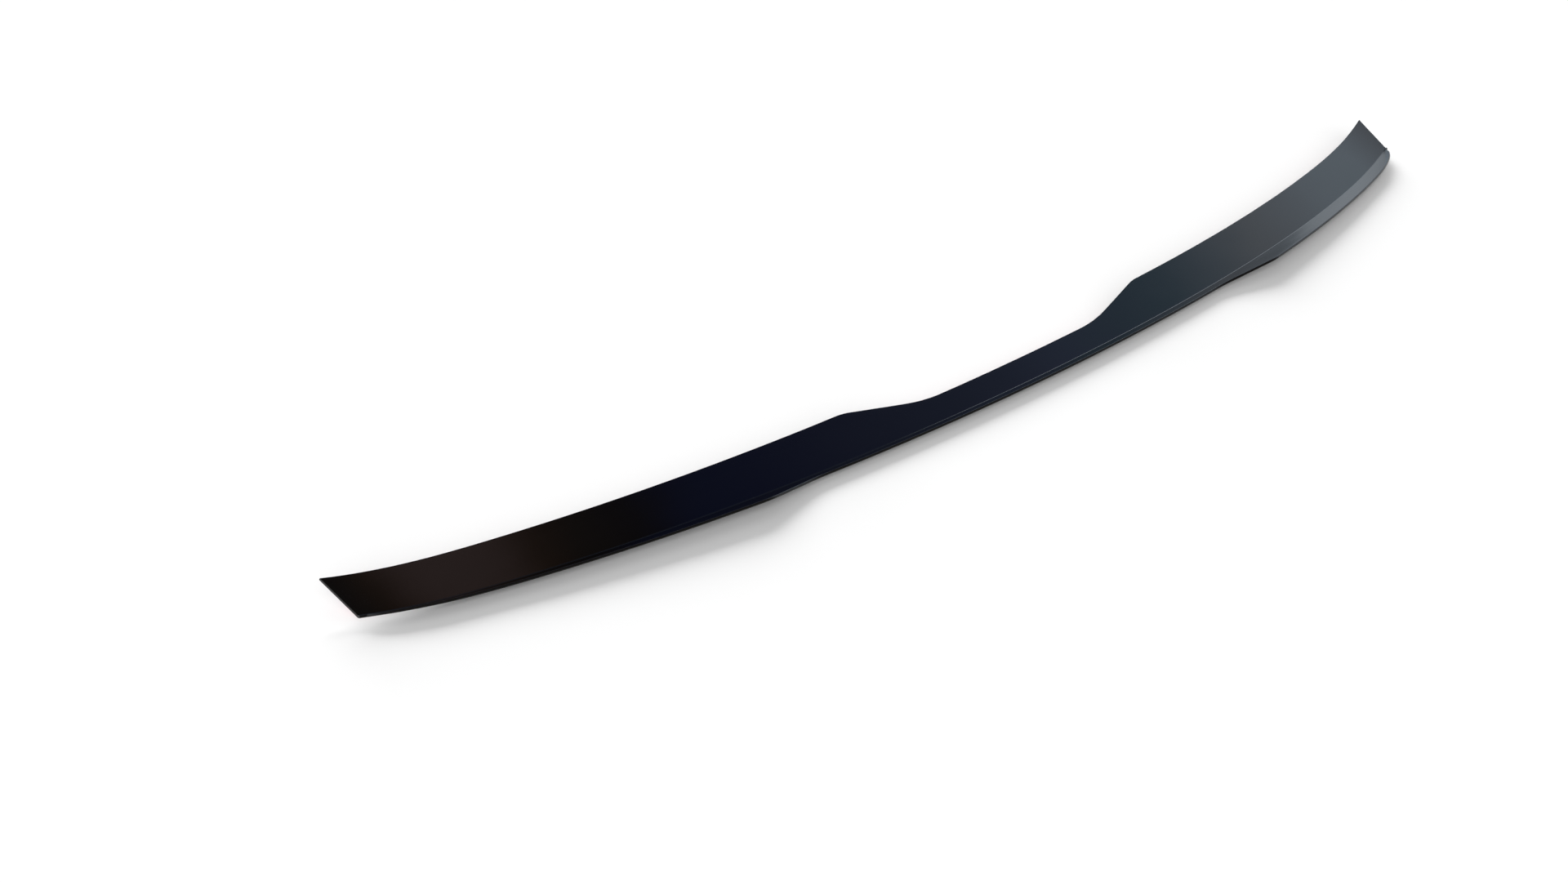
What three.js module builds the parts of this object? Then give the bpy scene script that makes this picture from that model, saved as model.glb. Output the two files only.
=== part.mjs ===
// A lip spoiler for the rear edge of a car's boot lid: a long, swept sheet of gloss black plastic, bent
// along its length into a mounting flange and a raised lip. A foam tape under the flange bonds it to the
// car, and a release liner covers the tape until then.
//
// Millimetres. +X is to the right seen from behind the car, +Y is towards the front of the car, +Z is up.
// The part is drawn as it lies on a flat floor, on the underside of its bend, and the origin is on that
// floor, under the middle of the part. Right and left are mirror images.

import * as THREE from 'three';

// The bend, the line where flange and lip meet
const SPAN = 1200; // straight across, from end to end
const SWEEP = 61.5; // how far the ends lie in front of the middle: the part that grows with the square
const TIP_SWEEP = 17.2; // and the part that grows with the fourth power
const END_LIFT = 5.2; // how far the ends curl up above the middle
const LIFT_START = 0.8; // where that starts, as a share of the half span
const SHEET = 2; // thickness of the plastic sheet
const BEND_RADIUS = 2.6; // on the underside
const FLANGE_SLOPE = 29.3; // degrees, rising forwards
const LIP_SLOPE = 24.9; // degrees, rising rearwards
const EDGE_BREAK = 0.5; // the small bevel along the cut edges

// The flange, which is narrow across the middle. Shares are of the half span, from 0 to 1.
const FLANGE_MIDDLE = 20.7; // width across the middle
const FLANGE_SHOULDER = 37.1; // width just outside the notch
const FLANGE_TAPER = 4; // width lost per half span outside the notch
const FLANGE_FLARE = 0.5; // width gained again at the very end
const FLARE_START = 0.88;
const FLANGE_NOTCH = { inner: 0.14, outer: 0.298, innerRound: 0.06, outerRound: 0.02 };
const END_RAKE = 3.8; // how much further out the flange's front corner is than its rear one

// The lip, which is narrow across a wider middle and rounds off at its ends
const LIP_MIDDLE = 13.6;
const LIP_SHOULDER = 29.5;
const LIP_TAPER = 28.5;
const LIP_NOTCH = { inner: 0.383, outer: 0.509, innerRound: 0.045, outerRound: 0.015 };
const LIP_ROUND_START = 0.898;
const LIP_ROUND_END = 0.991;
const LIP_END = 1.3; // width left at the very end

// The tape and its liner, on the flange's underside
const TAPE_INSET = 3.5; // from the bend to the tape's rear edge, at the middle
const TAPE_DRIFT = 7; // how much wider that is at the ends of the span
const TAPE_WIDTH = 16;
const TAPE_THICKNESS = 1.1;
const TAPE_HALF_LENGTH = 586;
const LINER_THICKNESS = 0.2;
const LINER_HALF_LENGTH = 590; // the liner stands past the tape so that it can be gripped
const LAYER_GAP = 0.3;

// How finely the curves are divided
const STEPS = 89; // along the span, odd so that the middle facet is square to the part's middle plane
const END_CROWDING = 0.6; // 0 for even steps, towards 1 for finer ones at the ends
const BEND_STEPS = 5;

const HALF = SPAN / 2;
const flangeSlope = THREE.MathUtils.degToRad(FLANGE_SLOPE);
const lipSlope = THREE.MathUtils.degToRad(LIP_SLOPE);
const along = new THREE.Vector2(Math.cos(flangeSlope), Math.sin(flangeSlope)); // up the flange
const out = new THREE.Vector2(-Math.cos(lipSlope), Math.sin(lipSlope)); // up the lip
const underFlange = new THREE.Vector2(Math.sin(flangeSlope), -Math.cos(flangeSlope));
const underLip = new THREE.Vector2(-Math.sin(lipSlope), -Math.cos(lipSlope));
const bendCentre = new THREE.Vector2(0, BEND_RADIUS);

// From 0 to 1 between inner and outer, with a straight slope that eases in and out over the two rounds
function ramp(share, { inner, outer, innerRound, outerRound }) {
  const slope = 1 / (outer - inner - (innerRound + outerRound) / 2);
  const t = THREE.MathUtils.clamp(share, inner, outer) - inner;
  const left = outer - inner - t;
  if (t < innerRound) return (slope * t * t) / (2 * innerRound);
  if (left < outerRound) return 1 - (slope * left * left) / (2 * outerRound);
  return slope * (t - innerRound / 2);
}

// The bend's place along Y, at x
function sweepAt(x) {
  const share = x / HALF;
  return SWEEP * share ** 2 + TIP_SWEEP * share ** 4;
}

// How high the bend lies above the floor, at x
function liftAt(x) {
  const beyond = Math.max(0, Math.abs(x) / HALF - LIFT_START) / (1 - LIFT_START);
  return END_LIFT * beyond ** 3;
}

function flangeWidth(share) {
  const taper = FLANGE_TAPER * Math.max(0, share - FLANGE_NOTCH.outer);
  const flare = FLANGE_FLARE * (Math.max(0, share - FLARE_START) / (1 - FLARE_START)) ** 2;
  const shoulder = FLANGE_SHOULDER - taper + flare;
  return FLANGE_MIDDLE + (shoulder - FLANGE_MIDDLE) * ramp(share, FLANGE_NOTCH);
}

function lipWidth(share) {
  const shoulder = LIP_SHOULDER - LIP_TAPER * Math.max(0, share - LIP_NOTCH.outer);
  const width = LIP_MIDDLE + (shoulder - LIP_MIDDLE) * ramp(share, LIP_NOTCH);
  const round = (share - LIP_ROUND_START) / (LIP_ROUND_END - LIP_ROUND_START);
  return LIP_END + (width - LIP_END) * Math.sqrt(1 - THREE.MathUtils.clamp(round, 0, 1) ** 2);
}

// Where the sheet is divided along the span, closer together towards the ends
function stations(halfLength) {
  const all = [];
  for (let i = 0; i <= STEPS; i++) {
    const t = (2 * i) / STEPS - 1;
    all.push(HALF * ((1 - END_CROWDING) * t + END_CROWDING * Math.sin((t * Math.PI) / 2)));
  }
  const inside = all.filter((x) => Math.abs(x) < halfLength - 1);
  return [-halfLength, ...inside, halfLength];
}

// A point of a cross-section, given across the bend and up, carried to its place on the swept part
function place(x, point) {
  return new THREE.Vector3(x, sweepAt(x) + point.x, liftAt(x) + point.y);
}

// A point at a distance along a leaf of the sheet, and at a depth outwards from the bend's centre
function leafPoint(direction, under, distance, depth) {
  return bendCentre.clone().addScaledVector(under, depth).addScaledVector(direction, distance);
}

// A closed body through rings of points. Each ring runs anticlockwise seen from +X.
function loft(rings) {
  const count = rings[0].length;
  const positions = rings.flat().flatMap((p) => [p.x, p.y, p.z]);
  const indices = [];
  for (let i = 0; i + 1 < rings.length; i++) {
    for (let j = 0; j < count; j++) {
      const a = i * count + j;
      const b = i * count + ((j + 1) % count);
      indices.push(a, b, b + count, a, b + count, a + count);
    }
  }
  const cap = (ring) => THREE.ShapeUtils.triangulateShape(ring.map((p) => new THREE.Vector2(p.y, p.z)), []);
  const last = (rings.length - 1) * count;
  for (const [a, b, c] of cap(rings[0])) indices.push(a, c, b);
  for (const [a, b, c] of cap(rings.at(-1))) indices.push(last + a, last + b, last + c);
  const geometry = new THREE.BufferGeometry();
  geometry.setAttribute('position', new THREE.Float32BufferAttribute(positions, 3));
  geometry.setIndex(indices);
  geometry.computeVertexNormals();
  return geometry;
}

// The bevelled free edge of a leaf, from its underside to its top
function freeEdge(direction, under, width) {
  const inner = BEND_RADIUS - SHEET;
  return [
    leafPoint(direction, under, width - EDGE_BREAK, BEND_RADIUS),
    leafPoint(direction, under, width, BEND_RADIUS - EDGE_BREAK),
    leafPoint(direction, under, width, inner + EDGE_BREAK),
    leafPoint(direction, under, width - EDGE_BREAK, inner),
  ];
}

// The bent corner, from the lip's side to the flange's side
function bend(radius) {
  const points = [];
  for (let i = 0; i <= BEND_STEPS; i++) {
    const angle = THREE.MathUtils.lerp(-lipSlope, flangeSlope, i / BEND_STEPS) - Math.PI / 2;
    points.push(new THREE.Vector2(Math.cos(angle), Math.sin(angle)).multiplyScalar(radius).add(bendCentre));
  }
  return points;
}

function shellRing(x) {
  const share = Math.abs(x) / HALF;
  const width = flangeWidth(share);
  const flare = Math.max(0, share - FLARE_START) / (1 - FLARE_START);
  const rake = Math.sign(x) * END_RAKE * flare ** 2;
  const shareUp = (point) => Math.max(0, point.clone().sub(bendCentre).dot(along) / width);
  const raked = (point) => place(x + rake * shareUp(point), point);
  return [
    ...bend(BEND_RADIUS).map(raked),
    ...freeEdge(along, underFlange, width).map(raked),
    ...bend(BEND_RADIUS - SHEET).reverse().map(raked),
    ...freeEdge(out, underLip, lipWidth(share)).reverse().map((point) => place(x, point)),
  ];
}

// A flat strip along the flange's underside, between two depths below it
function stripRing(x, nearer, further) {
  const inset = TAPE_INSET + TAPE_DRIFT * (x / HALF) ** 2;
  const corners = [
    [inset, further],
    [inset + TAPE_WIDTH, further],
    [inset + TAPE_WIDTH, nearer],
    [inset, nearer],
  ];
  return corners.map(([distance, depth]) => {
    return place(x, leafPoint(along, underFlange, distance, BEND_RADIUS + depth));
  });
}

function lipShell() {
  const material = new THREE.MeshStandardMaterial({ color: 0x0b0b0e, roughness: 0.08, metalness: 0 });
  return new THREE.Mesh(loft(stations(HALF).map(shellRing)), material);
}

function foamTape() {
  const rings = stations(TAPE_HALF_LENGTH).map((x) => stripRing(x, LAYER_GAP, LAYER_GAP + TAPE_THICKNESS));
  const material = new THREE.MeshStandardMaterial({ color: 0x3c3d41, roughness: 0.9, metalness: 0 });
  return new THREE.Mesh(loft(rings), material);
}

function releaseLiner() {
  const nearer = 2 * LAYER_GAP + TAPE_THICKNESS;
  const rings = stations(LINER_HALF_LENGTH).map((x) => stripRing(x, nearer, nearer + LINER_THICKNESS));
  const material = new THREE.MeshStandardMaterial({ color: 0xee9aa6, roughness: 0.45, metalness: 0 });
  return new THREE.Mesh(loft(rings), material);
}

const pieces = { lip_shell: lipShell(), foam_tape: foamTape(), release_liner: releaseLiner() };
const group = new THREE.Group();
for (const [name, mesh] of Object.entries(pieces)) {
  mesh.name = name;
  group.add(mesh);
}

// The origin is on the floor, under the middle of the part's box
const box = new THREE.Box3().setFromObject(group);
const middle = box.getCenter(new THREE.Vector3());
group.position.set(-middle.x, -middle.y, -box.min.z);

export default group;
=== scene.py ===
"""A boot lid lip spoiler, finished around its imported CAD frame.

The frame gives every place. The lip shell, the foam tape and the release liner are built here again with
fine, rounded surfaces on the same swept line, and stand for their CAD nodes. Metres, in the row frame:
+X to the right seen from behind the car, +Y towards the front of the car, +Z up.
"""

import math

import bpy
import numpy as np
from mathutils import Matrix, Vector


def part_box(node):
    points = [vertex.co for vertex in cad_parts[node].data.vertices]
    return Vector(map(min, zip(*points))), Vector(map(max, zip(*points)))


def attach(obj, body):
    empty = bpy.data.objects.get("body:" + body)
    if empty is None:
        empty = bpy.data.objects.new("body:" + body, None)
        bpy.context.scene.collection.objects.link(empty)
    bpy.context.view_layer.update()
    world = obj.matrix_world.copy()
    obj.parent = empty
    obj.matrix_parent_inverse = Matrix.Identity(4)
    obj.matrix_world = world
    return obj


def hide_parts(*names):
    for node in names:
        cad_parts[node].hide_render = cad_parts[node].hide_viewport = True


MM = 0.001

# The bend, the line where flange and lip meet
SPAN = 1200 * MM
SWEEP = 61.5 * MM  # the part that grows with the square
TIP_SWEEP = 17.2 * MM  # and the part that grows with the fourth power
END_LIFT = 5.2 * MM  # how far the ends curl up above the middle
LIFT_START = 0.8  # where that starts, as a share of the half span
SHEET = 2 * MM
BEND_RADIUS = 2.6 * MM  # on the underside
FLANGE_SLOPE = math.radians(29.3)  # rising forwards
LIP_SLOPE = math.radians(24.9)  # rising rearwards
EDGE_ROUND = 0.5 * MM  # along the cut edges
END_ROUND = 0.3 * MM  # around the sheet's two ends

# The flange. Shares are of the half span, from 0 to 1.
FLANGE_MIDDLE = 20.7 * MM
FLANGE_SHOULDER = 37.1 * MM
FLANGE_TAPER = 4 * MM
FLANGE_FLARE = 0.5 * MM
FLARE_START = 0.88
FLANGE_NOTCH = dict(inner=0.14, outer=0.298, inner_round=0.06, outer_round=0.02)
END_RAKE = 3.8 * MM

# The lip
LIP_MIDDLE = 13.6 * MM
LIP_SHOULDER = 29.5 * MM
LIP_TAPER = 28.5 * MM
LIP_NOTCH = dict(inner=0.383, outer=0.509, inner_round=0.045, outer_round=0.015)
LIP_ROUND_START = 0.898
LIP_ROUND_END = 0.991
LIP_END = 1.3 * MM

# The tape and its liner, under the flange
TAPE_INSET = 3.5 * MM  # from the bend, at the middle
TAPE_DRIFT = 7 * MM  # how much wider that is at the ends of the span
TAPE_WIDTH = 16 * MM
TAPE_THICKNESS = 1.1 * MM
TAPE_HALF_LENGTH = 586 * MM
TAPE_ROUND = 0.1 * MM
LINER_THICKNESS = 0.2 * MM
LINER_HALF_LENGTH = 590 * MM
LINER_ROUND = 0.05 * MM
LAYER_GAP = 0.3 * MM

# How finely the surfaces are divided
STEPS = 480
END_CROWDING = 0.85  # 0 for even steps along the span, towards 1 for finer ones at the ends
BEND_STEPS = 10
LEAF_STEPS = 8
ROUND_STEPS = 4

# The camera's place is measured from the middle of the bend
CAMERA_PLACE = (-1.8361, -1.4243, 1.0257)
CAMERA_FORWARD = (0.66970, 0.61179, -0.42098)
CAMERA_LENS = 77.17  # mm
CAMERA_SENSOR = 36  # mm
NEAREST_SEEN = 0.01
FLOOR_SIDE = 60

# The light that falls on everything: an even fill, a low key from behind on the right, and a low light
# from the camera's side. Directions point towards the light, and angles are its width in degrees.
FILL = 0.33
BACKDROP = 0.96  # how bright the fill looks behind the floor
SUNS = [
    dict(name="key", towards=(0.59, 0.76, 0.26), strength=7, angle=42),
    dict(name="front", towards=(-0.6, -0.66, 0.38), strength=2.7, angle=42),
]

# What the gloss mirrors instead: colours by height, from the horizon, 0, to straight up, 1
STUDIO = [
    (0.0, (0.48, 0.56, 0.64)),
    (0.38, (0.5, 0.6, 0.7)),
    (0.43, (0.78, 0.94, 1.08)),
    (0.46, (0.84, 1.0, 1.16)),
    (0.5, (0.76, 0.87, 1.0)),
    (0.54, (0.7, 0.78, 0.88)),
    (0.58, (0.45, 0.57, 0.7)),
    (0.61, (0.25, 0.39, 0.52)),
    (0.64, (0.235, 0.35, 0.49)),
    (0.67, (0.22, 0.285, 0.48)),
    (0.71, (0.145, 0.185, 0.33)),
    (0.76, (0.105, 0.13, 0.26)),
    (0.8, (0.063, 0.08, 0.21)),
    (0.835, (0.047, 0.063, 0.18)),
    (0.85, (0.045, 0.037, 0.04)),
    (0.875, (0.078, 0.06, 0.05)),
    (0.888, (0.15, 0.088, 0.055)),
    (0.902, (0.4, 0.27, 0.25)),
    (0.92, (0.42, 0.31, 0.29)),
    (0.95, (0.07, 0.065, 0.06)),
]

# And three soft round cards in front of that: where each hangs, the cosines of the angles from its middle
# between which it fades in, and its colour. The first is dim, the second bright and the third nearly black.
CARDS = [
    dict(towards=(0.55, 0.68, 0.48), edges=(0.935, 0.97), colour=(0.15, 0.18, 0.22)),
    dict(towards=(0.782, 0.461, 0.42), edges=(0.989, 0.994), colour=(1.75, 1.95, 2.15)),
    dict(towards=(0.1, -0.99, 0.1), edges=(0.4, 0.7), colour=(0.045, 0.035, 0.03)),
]

HALF = SPAN / 2
QUARTER_TURN = math.pi / 2
ALONG = np.array([math.cos(FLANGE_SLOPE), math.sin(FLANGE_SLOPE)])  # up the flange
OUT = np.array([-math.cos(LIP_SLOPE), math.sin(LIP_SLOPE)])  # up the lip
UNDER_FLANGE = np.array([math.sin(FLANGE_SLOPE), -math.cos(FLANGE_SLOPE)])
UNDER_LIP = np.array([-math.sin(LIP_SLOPE), -math.cos(LIP_SLOPE)])
BEND_CENTRE = np.array([0, BEND_RADIUS])


# ---------------------------------------------------------------- the swept shape


def ramp(share, inner, outer, inner_round, outer_round):
    """From 0 to 1 between inner and outer, easing in and out over the two rounds."""
    slope = 1 / (outer - inner - (inner_round + outer_round) / 2)
    past = min(max(share, inner), outer) - inner
    left = outer - inner - past
    if past < inner_round:
        return slope * past * past / (2 * inner_round)
    if left < outer_round:
        return 1 - slope * left * left / (2 * outer_round)
    return slope * (past - inner_round / 2)


def sweep_at(x):
    """How far in front of its middle the bend lies, at x."""
    share = x / HALF
    return SWEEP * share**2 + TIP_SWEEP * share**4


def lift_at(x):
    """How high above its middle the bend lies, at x."""
    beyond = max(0, abs(x) / HALF - LIFT_START) / (1 - LIFT_START)
    return END_LIFT * beyond**3


def flare_at(share):
    return (max(0, share - FLARE_START) / (1 - FLARE_START)) ** 2


def flange_width(share):
    taper = FLANGE_TAPER * max(0, share - FLANGE_NOTCH["outer"])
    shoulder = FLANGE_SHOULDER - taper + FLANGE_FLARE * flare_at(share)
    return FLANGE_MIDDLE + (shoulder - FLANGE_MIDDLE) * ramp(share, **FLANGE_NOTCH)


def lip_width(share):
    shoulder = LIP_SHOULDER - LIP_TAPER * max(0, share - LIP_NOTCH["outer"])
    width = LIP_MIDDLE + (shoulder - LIP_MIDDLE) * ramp(share, **LIP_NOTCH)
    rounding = (share - LIP_ROUND_START) / (LIP_ROUND_END - LIP_ROUND_START)
    return LIP_END + (width - LIP_END) * math.sqrt(1 - min(max(rounding, 0), 1) ** 2)


def stations(half_length):
    """Places along the span, closer together towards the ends."""
    t = np.linspace(-1, 1, STEPS + 1)
    return half_length * ((1 - END_CROWDING) * t + END_CROWDING * np.sin(t * QUARTER_TURN))


def leaf_chain(direction, under, width, depth, fillet, side):
    """One face of a leaf from near the bend to its cut edge, with a filleted corner.

    side is 1 on the underside and -1 on the top.
    """
    face = BEND_CENTRE + under * depth
    reach = width - fillet
    flat = [face + direction * (reach * i / LEAF_STEPS) for i in range(1, LEAF_STEPS)]
    centre = face + direction * reach - under * fillet * side
    corner = []
    for i in range(ROUND_STEPS + 1):
        turn = QUARTER_TURN * i / ROUND_STEPS
        corner.append(centre + under * side * fillet * math.cos(turn) + direction * fillet * math.sin(turn))
    return flat + corner


def bend_chain(radius):
    """The bent corner, from the lip's side to the flange's side."""
    angles = np.linspace(-QUARTER_TURN - LIP_SLOPE, -QUARTER_TURN + FLANGE_SLOPE, BEND_STEPS + 1)
    return [BEND_CENTRE + radius * np.array([math.cos(a), math.sin(a)]) for a in angles]


def sheet_chain(flange, lip, depth, fillet, side):
    """One whole face of the sheet's section, from the lip's edge to the flange's edge."""
    lip_side = leaf_chain(OUT, UNDER_LIP, lip, depth, fillet, side)
    flange_side = leaf_chain(ALONG, UNDER_FLANGE, flange, depth, fillet, side)
    return lip_side[::-1] + bend_chain(depth) + flange_side


def shell_ring(x, inset=0.0):
    """The sheet's section at x, with its surface drawn in by inset: the underside, then the top."""
    share = min(1, abs(x) / HALF)
    flange = flange_width(share) - inset
    lip = lip_width(share) - inset
    fillet = EDGE_ROUND - inset
    under = sheet_chain(flange, lip, BEND_RADIUS - inset, fillet, 1)
    top = sheet_chain(flange, lip, BEND_RADIUS - SHEET + inset, fillet, -1)
    rake = math.copysign(END_RAKE * flare_at(share), x)
    ring = []
    for point in under + top[::-1]:
        up = max(0, float((point - BEND_CENTRE) @ ALONG)) / flange
        raked = x + rake * up
        ring.append((raked, sweep_at(raked) + point[0], lift_at(raked) + point[1]))
    return ring


def shell_rings():
    """Every ring of the sheet, with the two ends rounded off by rings drawn in step by step."""
    rings = [shell_ring(x) for x in stations(HALF - END_ROUND)]
    for i in range(1, ROUND_STEPS + 1):
        turn = QUARTER_TURN * i / ROUND_STEPS
        x = HALF - END_ROUND + END_ROUND * math.sin(turn)
        inset = END_ROUND * (1 - math.cos(turn))
        rings.append(shell_ring(x, inset))
        rings.insert(0, shell_ring(-x, inset))
    return rings


def strip_ring(x, nearer, further, fillet):
    """The section of a flat strip under the flange at x, with rounded corners.

    The side further from the flange comes first, and then the nearer one.
    """
    low = TAPE_INSET + TAPE_DRIFT * (x / HALF) ** 2
    high = low + TAPE_WIDTH
    corners = [(low, further, 1, -1), (high, further, 1, 1), (high, nearer, -1, 1), (low, nearer, -1, -1)]
    section = []
    for number, (distance, depth, outwards, forwards) in enumerate(corners):
        for i in range(ROUND_STEPS + 1):
            turn = QUARTER_TURN * i / ROUND_STEPS
            if number % 2:
                turn = QUARTER_TURN - turn
            reach = distance - forwards * fillet * (1 - math.cos(turn))
            level = BEND_RADIUS + depth - outwards * fillet * (1 - math.sin(turn))
            section.append(BEND_CENTRE + UNDER_FLANGE * level + ALONG * reach)
    return [(x, sweep_at(x) + point[0], lift_at(x) + point[1]) for point in section]


def loft(name, rings):
    """A closed mesh through rings whose first half faces down and second half faces up."""
    count = len(rings[0])
    half = count // 2
    faces = []
    for r in range(len(rings) - 1):
        for i in range(count):
            j = (i + 1) % count
            faces.append((r * count + i, r * count + j, (r + 1) * count + j, (r + 1) * count + i))
    last = (len(rings) - 1) * count
    for low in range(half - 1):
        high = count - 1 - low
        faces.append((low, high, high - 1, low + 1))
        faces.append((last + low, last + low + 1, last + high - 1, last + high))
    mesh = bpy.data.meshes.new(name)
    mesh.from_pydata([p for ring in rings for p in ring], [], faces)
    mesh.validate()
    mesh.shade_smooth()
    piece = bpy.data.objects.new(name, mesh)
    bpy.context.scene.collection.objects.link(piece)
    return piece


# ---------------------------------------------------------------- materials


def new_material(name):
    material = bpy.data.materials.new(name)
    material.use_nodes = True
    nodes, links = material.node_tree.nodes, material.node_tree.links
    return material, nodes, links, nodes["Principled BSDF"]


def noise(nodes, links, coordinates, scale, detail, stretch=(1, 1, 1)):
    mapping = nodes.new("ShaderNodeMapping")
    mapping.inputs["Scale"].default_value = stretch
    links.new(coordinates.outputs["Object"], mapping.inputs["Vector"])
    texture = nodes.new("ShaderNodeTexNoise")
    texture.inputs["Scale"].default_value = scale
    texture.inputs["Detail"].default_value = detail
    links.new(mapping.outputs["Vector"], texture.inputs["Vector"])
    return texture.outputs["Fac"]


def spread(nodes, links, source, low, high):
    """Noise, which mostly lies between 0.3 and 0.7, stretched to run from low to high."""
    change = nodes.new("ShaderNodeMapRange")
    change.inputs["From Min"].default_value = 0.3
    change.inputs["From Max"].default_value = 0.7
    change.inputs["To Min"].default_value = low
    change.inputs["To Max"].default_value = high
    links.new(source, change.inputs["Value"])
    return change.outputs["Result"]


def tinted(nodes, links, source, first, second):
    """A colour between two, each given with the source's value that it goes with."""
    ramp_node = nodes.new("ShaderNodeValToRGB")
    for element, (place, colour) in zip(ramp_node.color_ramp.elements, (first, second)):
        element.position = place
        element.color = (*colour, 1)
    links.new(source, ramp_node.inputs["Fac"])
    return ramp_node.outputs["Color"]


def bump(nodes, links, height, distance, strength, before=None):
    node = nodes.new("ShaderNodeBump")
    node.inputs["Distance"].default_value = distance
    node.inputs["Strength"].default_value = strength
    links.new(height, node.inputs["Height"])
    if before is not None:
        links.new(before, node.inputs["Normal"])
    return node.outputs["Normal"]


def gloss_black():
    """Deep gloss black with the faint waviness of a formed sheet and a little haze."""
    material, nodes, links, shader = new_material("gloss_black_plastic")
    coordinates = nodes.new("ShaderNodeTexCoord")
    shader.inputs["Base Color"].default_value = (0.0012, 0.0012, 0.0014, 1)
    shader.inputs["IOR"].default_value = 1.5
    haze = noise(nodes, links, coordinates, scale=18, detail=5)
    links.new(spread(nodes, links, haze, low=0.045, high=0.1), shader.inputs["Roughness"])
    wave = noise(nodes, links, coordinates, scale=9, detail=1, stretch=(1, 3, 3))
    peel = noise(nodes, links, coordinates, scale=330, detail=2)
    long_wave = bump(nodes, links, wave, distance=0.6 * MM, strength=0.5)
    surface = bump(nodes, links, peel, distance=0.01 * MM, strength=0.5, before=long_wave)
    links.new(surface, shader.inputs["Normal"])
    return material


def cut_edge():
    """The milled edge of the sheet: the same plastic, satin and a little lighter."""
    material, nodes, links, shader = new_material("cut_edge")
    coordinates = nodes.new("ShaderNodeTexCoord")
    tone = noise(nodes, links, coordinates, scale=60, detail=4, stretch=(0.3, 1, 1))
    colour = tinted(nodes, links, tone, (0, (0.0015, 0.0013, 0.0012)), (1, (0.0035, 0.003, 0.0028)))
    links.new(colour, shader.inputs["Base Color"])
    shader.inputs["Roughness"].default_value = 0.32
    lines = noise(nodes, links, coordinates, scale=900, detail=2, stretch=(0.08, 1, 1))
    surface = bump(nodes, links, lines, distance=0.05 * MM, strength=0.4)
    links.new(surface, shader.inputs["Normal"])
    return material


def acrylic_foam():
    """Dark grey closed-cell foam, with small cells lighter at their walls: painted shade darkens each cell
    towards its hollow middle, and the same pattern bumps the walls up.
    """
    material, nodes, links, shader = new_material("acrylic_foam")
    coordinates = nodes.new("ShaderNodeTexCoord")
    cells = nodes.new("ShaderNodeTexVoronoi")
    cells.inputs["Scale"].default_value = 3200
    links.new(coordinates.outputs["Object"], cells.inputs["Vector"])
    cell_height_and_shade = cells.outputs["Distance"]
    # painted shade: dark in each cell's hollow middle, lighter towards its raised walls
    colour = tinted(nodes, links, cell_height_and_shade, (0, (0.022, 0.022, 0.025)), (1, (0.062, 0.062, 0.068)))
    links.new(colour, shader.inputs["Base Color"])
    shader.inputs["Roughness"].default_value = 0.9
    surface = bump(nodes, links, cell_height_and_shade, distance=0.1 * MM, strength=0.6)
    links.new(surface, shader.inputs["Normal"])
    return material


def liner_film():
    """Satin pink film with faint wrinkles along it and a slightly uneven tint."""
    material, nodes, links, shader = new_material("pink_liner_film")
    coordinates = nodes.new("ShaderNodeTexCoord")
    tint = noise(nodes, links, coordinates, scale=25, detail=4)
    colour = tinted(nodes, links, tint, (0.35, (0.83, 0.33, 0.38)), (0.65, (0.9, 0.42, 0.46)))
    links.new(colour, shader.inputs["Base Color"])
    gloss = noise(nodes, links, coordinates, scale=60, detail=3)
    links.new(spread(nodes, links, gloss, low=0.3, high=0.45), shader.inputs["Roughness"])
    wrinkle = noise(nodes, links, coordinates, scale=40, detail=2, stretch=(1, 4, 4))
    surface = bump(nodes, links, wrinkle, distance=0.4 * MM, strength=0.4)
    links.new(surface, shader.inputs["Normal"])
    return material


def pale_floor():
    material, _, _, shader = new_material("pale_floor")
    shader.inputs["Base Color"].default_value = (0.82, 0.82, 0.82, 1)
    shader.inputs["Roughness"].default_value = 0.9
    shader.inputs["Specular IOR Level"].default_value = 0
    return material


# ---------------------------------------------------------------- pieces


def mark_cut_edges(piece, rings):
    """Gives the second material to the sheet's cut edges, with most of their rounds, and to its two ends."""
    count = len(rings[0])
    flats = (-1, count // 2 - 1)  # the lip's edge, where the ring closes, and the flange's
    reach = range(1 - ROUND_STEPS, ROUND_STEPS)
    cut = {(flat + step) % count for flat in flats for step in reach}
    far_end = len(rings) - 1 - ROUND_STEPS
    for number, face in enumerate(piece.data.polygons):
        ring, place = divmod(number, count)
        at_end = ring < ROUND_STEPS or ring >= far_end
        face.material_index = 1 if at_end or place in cut else 0


def even_normals(piece, weight=50):
    modifier = piece.modifiers.new("even_normals", "WEIGHTED_NORMAL")
    modifier.weight = weight


def lip_shell(shift):
    rings = shell_rings()
    piece = loft("lip_shell_skin", rings)
    piece.data.transform(Matrix.Translation(shift))
    piece.data.materials.append(gloss_black())
    piece.data.materials.append(cut_edge())
    mark_cut_edges(piece, rings)
    even_normals(piece, weight=100)
    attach(piece, "lip")
    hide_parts("lip_shell")


def strip(name, nearer, thickness, half_length, fillet, material, shift):
    """A strip under the flange, between nearer and nearer plus thickness below it."""
    rings = [strip_ring(x, nearer, nearer + thickness, fillet) for x in stations(half_length)]
    piece = loft(name, rings)
    piece.data.transform(Matrix.Translation(shift))
    piece.data.materials.append(material)
    even_normals(piece)
    return piece


def foam_tape(shift):
    piece = strip("foam_tape_strip", LAYER_GAP, TAPE_THICKNESS, TAPE_HALF_LENGTH, TAPE_ROUND,
                  acrylic_foam(), shift)
    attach(piece, "lip")
    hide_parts("foam_tape")


def release_liner(shift):
    nearer = 2 * LAYER_GAP + TAPE_THICKNESS
    piece = strip("release_liner_film", nearer, LINER_THICKNESS, LINER_HALF_LENGTH, LINER_ROUND,
                  liner_film(), shift)
    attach(piece, "liner")
    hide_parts("release_liner")


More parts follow.
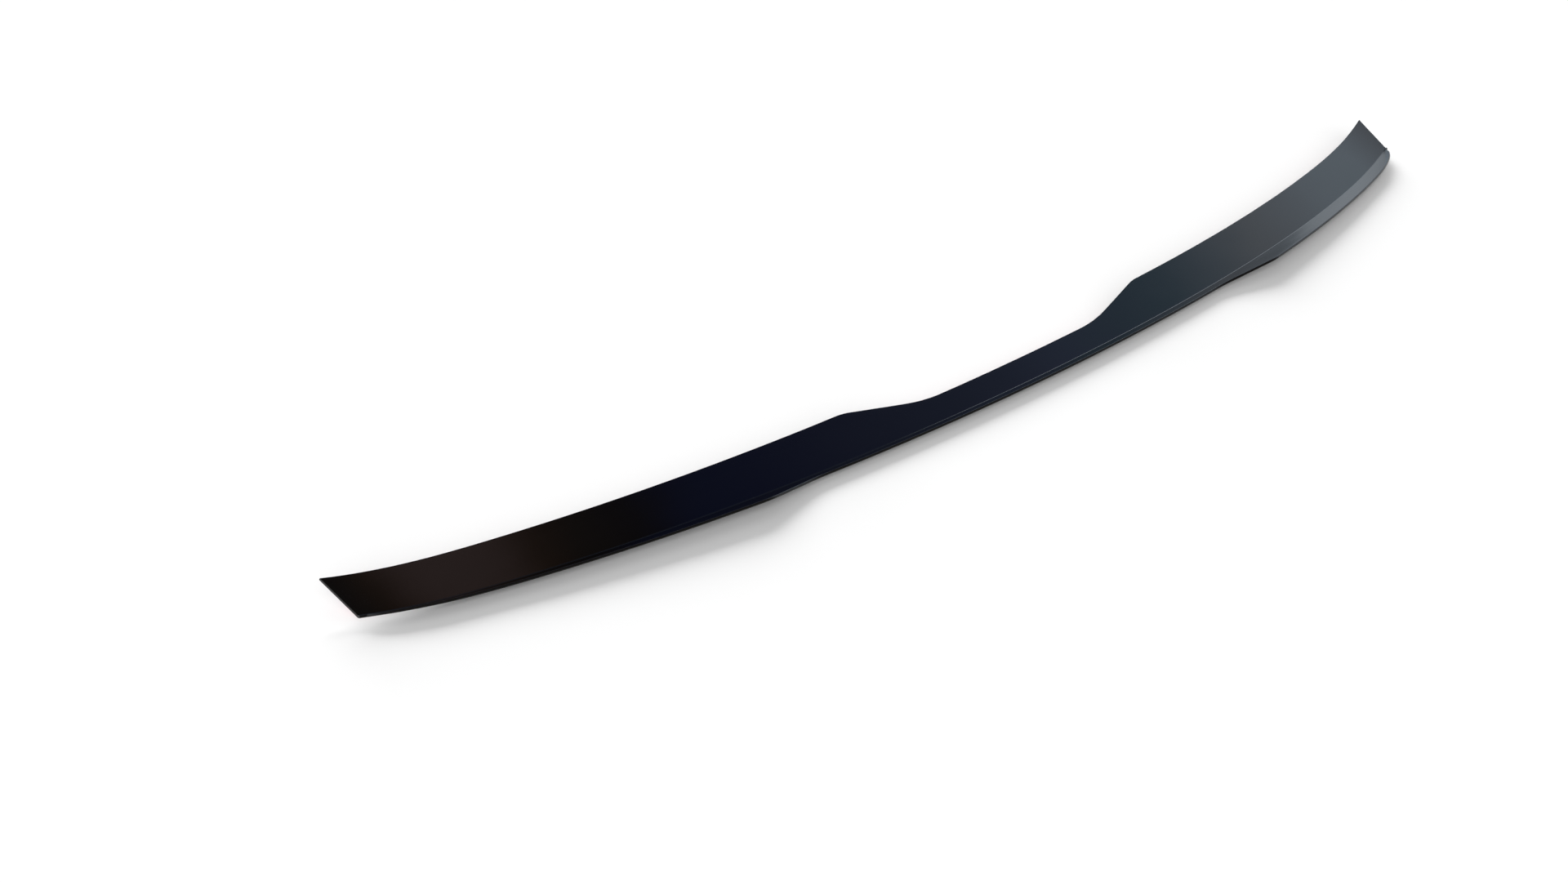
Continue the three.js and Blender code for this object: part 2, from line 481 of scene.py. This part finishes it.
# ---------------------------------------------------------------- studio


def floor():
    bpy.ops.mesh.primitive_plane_add(size=FLOOR_SIDE)
    plane = bpy.context.object
    plane.name = "floor"
    plane.data.materials.append(pale_floor())


def facing(nodes, links, direction, towards, edges):
    """From 0 to 1 as the direction turns towards a point, between the two cosines in edges."""
    cosine = nodes.new("ShaderNodeVectorMath")
    cosine.operation = "DOT_PRODUCT"
    cosine.inputs[1].default_value = Vector(towards).normalized()
    links.new(direction, cosine.inputs[0])
    share = nodes.new("ShaderNodeMapRange")
    share.interpolation_type = "SMOOTHSTEP"
    share.inputs["From Min"].default_value, share.inputs["From Max"].default_value = edges
    links.new(cosine.outputs["Value"], share.inputs["Value"])
    return share.outputs["Result"]


def colours_by_height(nodes, links, direction):
    split = nodes.new("ShaderNodeSeparateXYZ")
    links.new(direction, split.inputs["Vector"])
    height = nodes.new("ShaderNodeValToRGB")
    elements = height.color_ramp.elements
    while len(elements) < len(STUDIO):
        elements.new(0.5)
    for element, (place, colour) in zip(elements, STUDIO):
        element.position = place
        element.color = (*colour, 1)
    links.new(split.outputs["Z"], height.inputs["Fac"])
    return height.outputs["Color"]


def mirrored_studio(nodes, links):
    """What the gloss reflects: the colours by height, with the cards hung in front of them."""
    direction = nodes.new("ShaderNodeTexCoord").outputs["Generated"]
    surroundings = colours_by_height(nodes, links, direction)
    for card in CARDS:
        hung = nodes.new("ShaderNodeMix")
        hung.data_type = "RGBA"
        hung.inputs["B"].default_value = (*card["colour"], 1)
        links.new(facing(nodes, links, direction, card["towards"], card["edges"]), hung.inputs["Factor"])
        links.new(surroundings, hung.inputs["A"])
        surroundings = hung.outputs["Result"]
    background = nodes.new("ShaderNodeBackground")
    links.new(surroundings, background.inputs["Color"])
    return background


def pale_surround(nodes, links, seen_directly):
    """Even white all round, dimmer as a light than it looks behind the floor."""
    brightness = nodes.new("ShaderNodeMapRange")
    brightness.inputs["To Min"].default_value = FILL
    brightness.inputs["To Max"].default_value = BACKDROP
    links.new(seen_directly, brightness.inputs["Value"])
    background = nodes.new("ShaderNodeBackground")
    background.inputs["Color"].default_value = (1, 1, 1, 1)
    links.new(brightness.outputs["Result"], background.inputs["Strength"])
    return background


def sky():
    """Even pale light all round, and the mirrored studio in reflections only."""
    world = bpy.data.worlds.new("studio")
    bpy.context.scene.world = world
    world.use_nodes = True
    nodes, links = world.node_tree.nodes, world.node_tree.links
    nodes.clear()
    path = nodes.new("ShaderNodeLightPath")
    pale = pale_surround(nodes, links, path.outputs["Is Camera Ray"])
    studio = mirrored_studio(nodes, links)
    choice = nodes.new("ShaderNodeMixShader")
    links.new(path.outputs["Is Glossy Ray"], choice.inputs["Fac"])
    links.new(pale.outputs["Background"], choice.inputs[1])
    links.new(studio.outputs["Background"], choice.inputs[2])
    output = nodes.new("ShaderNodeOutputWorld")
    links.new(choice.outputs["Shader"], output.inputs["Surface"])


def sun(name, towards, strength, angle):
    """A light from far away that lights the part and the floor, and isn't mirrored in the gloss."""
    data = bpy.data.lights.new(name, "SUN")
    data.energy = strength
    data.angle = math.radians(angle)
    light = bpy.data.objects.new(name, data)
    bpy.context.scene.collection.objects.link(light)
    light.rotation_euler = Vector(towards).to_track_quat("Z", "Y").to_euler()
    light.visible_glossy = False


def camera(bend_middle):
    data = bpy.data.cameras.new("camera")
    data.sensor_width = CAMERA_SENSOR
    data.lens = CAMERA_LENS
    data.clip_start = NEAREST_SEEN
    view = bpy.data.objects.new("camera", data)
    bpy.context.scene.collection.objects.link(view)
    view.location = bend_middle + Vector(CAMERA_PLACE)
    view.rotation_euler = Vector(CAMERA_FORWARD).to_track_quat("-Z", "Y").to_euler()
    bpy.context.scene.camera = view


def middle_of_bend():
    """Where the middle of the bend lies in the frame. The shapes above are drawn from there."""
    low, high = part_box("lip_shell")
    points = np.array([p for ring in shell_rings() for p in ring])
    drawn_low, drawn_high = points.min(axis=0), points.max(axis=0)
    y = (low.y + high.y) / 2 - (drawn_low[1] + drawn_high[1]) / 2
    return Vector((0, y, low.z - drawn_low[2]))


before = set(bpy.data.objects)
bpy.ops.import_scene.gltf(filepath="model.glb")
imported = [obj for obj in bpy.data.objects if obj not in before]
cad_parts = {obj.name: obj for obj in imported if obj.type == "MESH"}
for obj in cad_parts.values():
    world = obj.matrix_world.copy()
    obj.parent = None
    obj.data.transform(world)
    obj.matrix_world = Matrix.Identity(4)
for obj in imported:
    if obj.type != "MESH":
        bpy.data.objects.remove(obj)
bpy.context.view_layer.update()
bpy.context.scene.view_settings.view_transform = "Standard"

bend_middle = middle_of_bend()
camera(bend_middle)
lip_shell(bend_middle)
foam_tape(bend_middle)
release_liner(bend_middle)
floor()
sky()
for light in SUNS:
    sun(**light)
